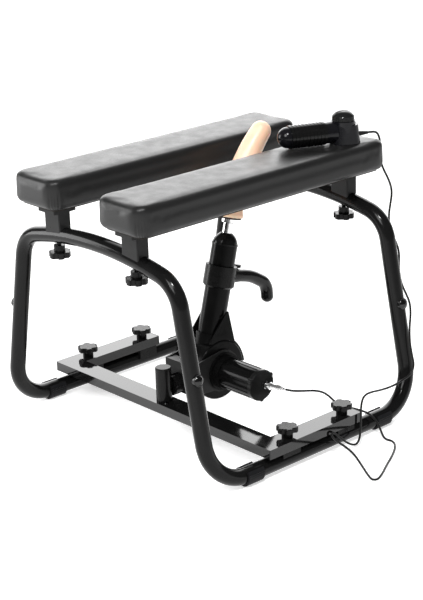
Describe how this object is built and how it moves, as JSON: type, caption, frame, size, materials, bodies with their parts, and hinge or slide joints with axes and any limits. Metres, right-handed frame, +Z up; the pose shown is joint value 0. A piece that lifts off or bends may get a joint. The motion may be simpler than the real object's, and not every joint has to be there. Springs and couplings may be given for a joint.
{
  "type": "motorised adult thrusting bench",
  "caption": "Padded two-rail bench on a splayed tube stool, with a tilting motorised thrust tube between the rails and a corded speed handset.",
  "frame": {"origin": "on the floor under the centre of the bench", "axes": "+X across the bench towards the motor side, +Y along the pads towards the handset end, +Z up"},
  "size_m": [0.7923, 0.6592, 0.609],
  "materials": {
    "frame_paint": "gloss powder coat",
    "platform_paint": "high gloss enamel",
    "foot_rubber": "matte moulded rubber",
    "fastener_steel": "bright plated",
    "moulded_black": "fine moulded texture",
    "bracket_paint": "satin powder coat",
    "pad_board": "black painted plywood",
    "pad_vinyl": "soft grained vinyl",
    "drive_paint": "satin black",
    "gloss_black": "polished moulding",
    "motor_paint": "gloss black over extruded ribs",
    "bush_brass": "machined",
    "machined_steel": "machined",
    "chrome": "polished",
    "disc_rubber": "matte",
    "silicone": "soft satin silicone",
    "grip_rubber": "satin grip",
    "handset_shell": "fine spark texture",
    "board_green": "solder mask",
    "cord_rubber": "smooth jacket"
  },
  "bodies": {
    "frame": {"front_arch_tube": "frame_paint", "rear_arch_tube": "frame_paint", "left_side_tube": "frame_paint", "right_side_tube": "frame_paint", "leg_spigots": "frame_paint", "frame_fasteners": "fastener_steel", "foot_sleeves": "foot_rubber", "base_frame": "platform_paint", "bar_end_caps": "moulded_black", "rail_saddles": "moulded_black", "post_tube": "frame_paint", "post_cap": "moulded_black", "swing_yoke": "bracket_paint", "pad_brackets": "bracket_paint", "pad_boards": "pad_board", "left_pad": "pad_vinyl", "right_pad": "pad_vinyl", "handset_lower_shell": "handset_shell", "handset_upper_shell": "handset_shell", "grip_sleeve": "grip_rubber", "circuit_board": "board_green", "strain_relief": "cord_rubber", "handset_cord": "cord_rubber"},
    "drive_unit": {"crank_housing": "drive_paint", "crank_cover": "drive_paint", "cheek_plates": "drive_paint", "crank_guard": "drive_paint", "drive_tube": "drive_paint", "tube_dome": "gloss_black", "shaft_bush": "bush_brass", "gearhead_housing": "drive_paint", "motor_can": "motor_paint", "motor_end_cap": "gloss_black", "power_socket": "chrome", "cord_plug": "chrome"},
    "shaft": {"crosshead": "machined_steel", "thrust_shaft": "chrome", "connecting_rod": "machined_steel", "rod_pins": "fastener_steel", "shaft_flange": "chrome", "attachment_disc": "disc_rubber", "attachment": "silicone"},
    "crank": {"crank_disc": "machined_steel", "output_gear": "machined_steel"},
    "layshaft": {"layshaft": "machined_steel"},
    "armature": {"armature": "machined_steel"},
    "handle": {"handle_collar": "moulded_black", "handle_bar": "machined_steel", "handle_grip": "grip_rubber"},
    "handle_lock": {"handle_lock": "moulded_black"},
    "dial": {"speed_dial": "gloss_black"},
    "yoke_knob": {"yoke_knob": "moulded_black"},
    "base_knob_1": {"base_knob_1": "moulded_black"},
    "base_knob_2": {"base_knob_2": "moulded_black"},
    "base_knob_3": {"base_knob_3": "moulded_black"},
    "base_knob_4": {"base_knob_4": "moulded_black"},
    "pad_knob_1": {"pad_knob_1": "moulded_black"},
    "pad_knob_2": {"pad_knob_2": "moulded_black"},
    "pad_knob_3": {"pad_knob_3": "moulded_black"},
    "pad_knob_4": {"pad_knob_4": "moulded_black"}
  },
  "joints": [
    {"name": "unit_tilt", "type": "hinge", "parent": "frame", "child": "drive_unit", "pos_m": [0, -0.003, 0.1015], "axis": [1, 0, 0], "range_deg": [-15, 20]},
    {"name": "shaft_stroke", "type": "slide", "parent": "drive_unit", "child": "shaft", "axis": [0, 0.2554, 0.9668], "range_m": [0, 0.06]},
    {"name": "crank_spin", "type": "hinge", "parent": "drive_unit", "child": "crank", "pos_m": [0, -0.003, 0.1015], "axis": [1, 0, 0], "continuous": true},
    {"name": "layshaft_spin", "type": "hinge", "parent": "drive_unit", "child": "layshaft", "pos_m": [0, -0.003, 0.1183], "axis": [1, 0, 0], "continuous": true},
    {"name": "armature_spin", "type": "hinge", "parent": "drive_unit", "child": "armature", "pos_m": [0, -0.003, 0.1015], "axis": [1, 0, 0], "continuous": true},
    {"name": "handle_slide", "type": "slide", "parent": "drive_unit", "child": "handle", "axis": [0, 0.2554, 0.9668], "range_m": [-0.035, 0.035]},
    {"name": "handle_lock_turn", "type": "hinge", "parent": "handle", "child": "handle_lock", "pos_m": [0, 0.08069, 0.28941], "axis": [0, 0.2554, 0.9668], "continuous": true},
    {"name": "dial_turn", "type": "hinge", "parent": "frame", "child": "dial", "pos_m": [0.14358, 0.24433, 0.59], "axis": [0, 0, 1], "range_deg": [-270, 0]},
    {"name": "yoke_knob_turn", "type": "hinge", "parent": "frame", "child": "yoke_knob", "pos_m": [0, -0.1, 0.09], "axis": [0, 1, 0], "continuous": true},
    {"name": "base_knob_1_turn", "type": "hinge", "parent": "frame", "child": "base_knob_1", "pos_m": [-0.302, -0.08, 0.07], "axis": [0, 0, 1], "continuous": true},
    {"name": "base_knob_2_turn", "type": "hinge", "parent": "frame", "child": "base_knob_2", "pos_m": [-0.302, 0.069, 0.07], "axis": [0, 0, 1], "continuous": true},
    {"name": "base_knob_3_turn", "type": "hinge", "parent": "frame", "child": "base_knob_3", "pos_m": [0.302, -0.08, 0.07], "axis": [0, 0, 1], "continuous": true},
    {"name": "base_knob_4_turn", "type": "hinge", "parent": "frame", "child": "base_knob_4", "pos_m": [0.302, 0.069, 0.07], "axis": [0, 0, 1], "continuous": true},
    {"name": "pad_knob_1_turn", "type": "hinge", "parent": "frame", "child": "pad_knob_1", "pos_m": [-0.115, -0.275, 0.39], "axis": [0, 0, 1], "continuous": true},
    {"name": "pad_knob_2_turn", "type": "hinge", "parent": "frame", "child": "pad_knob_2", "pos_m": [-0.115, 0.275, 0.39], "axis": [0, 0, 1], "continuous": true},
    {"name": "pad_knob_3_turn", "type": "hinge", "parent": "frame", "child": "pad_knob_3", "pos_m": [0.115, -0.275, 0.39], "axis": [0, 0, 1], "continuous": true},
    {"name": "pad_knob_4_turn", "type": "hinge", "parent": "frame", "child": "pad_knob_4", "pos_m": [0.115, 0.275, 0.39], "axis": [0, 0, 1], "continuous": true}
  ],
  "couplings": [
    {"joint": "layshaft_spin", "follows": "crank_spin", "ratio": -3},
    {"joint": "armature_spin", "follows": "crank_spin", "ratio": 9}
  ]
}
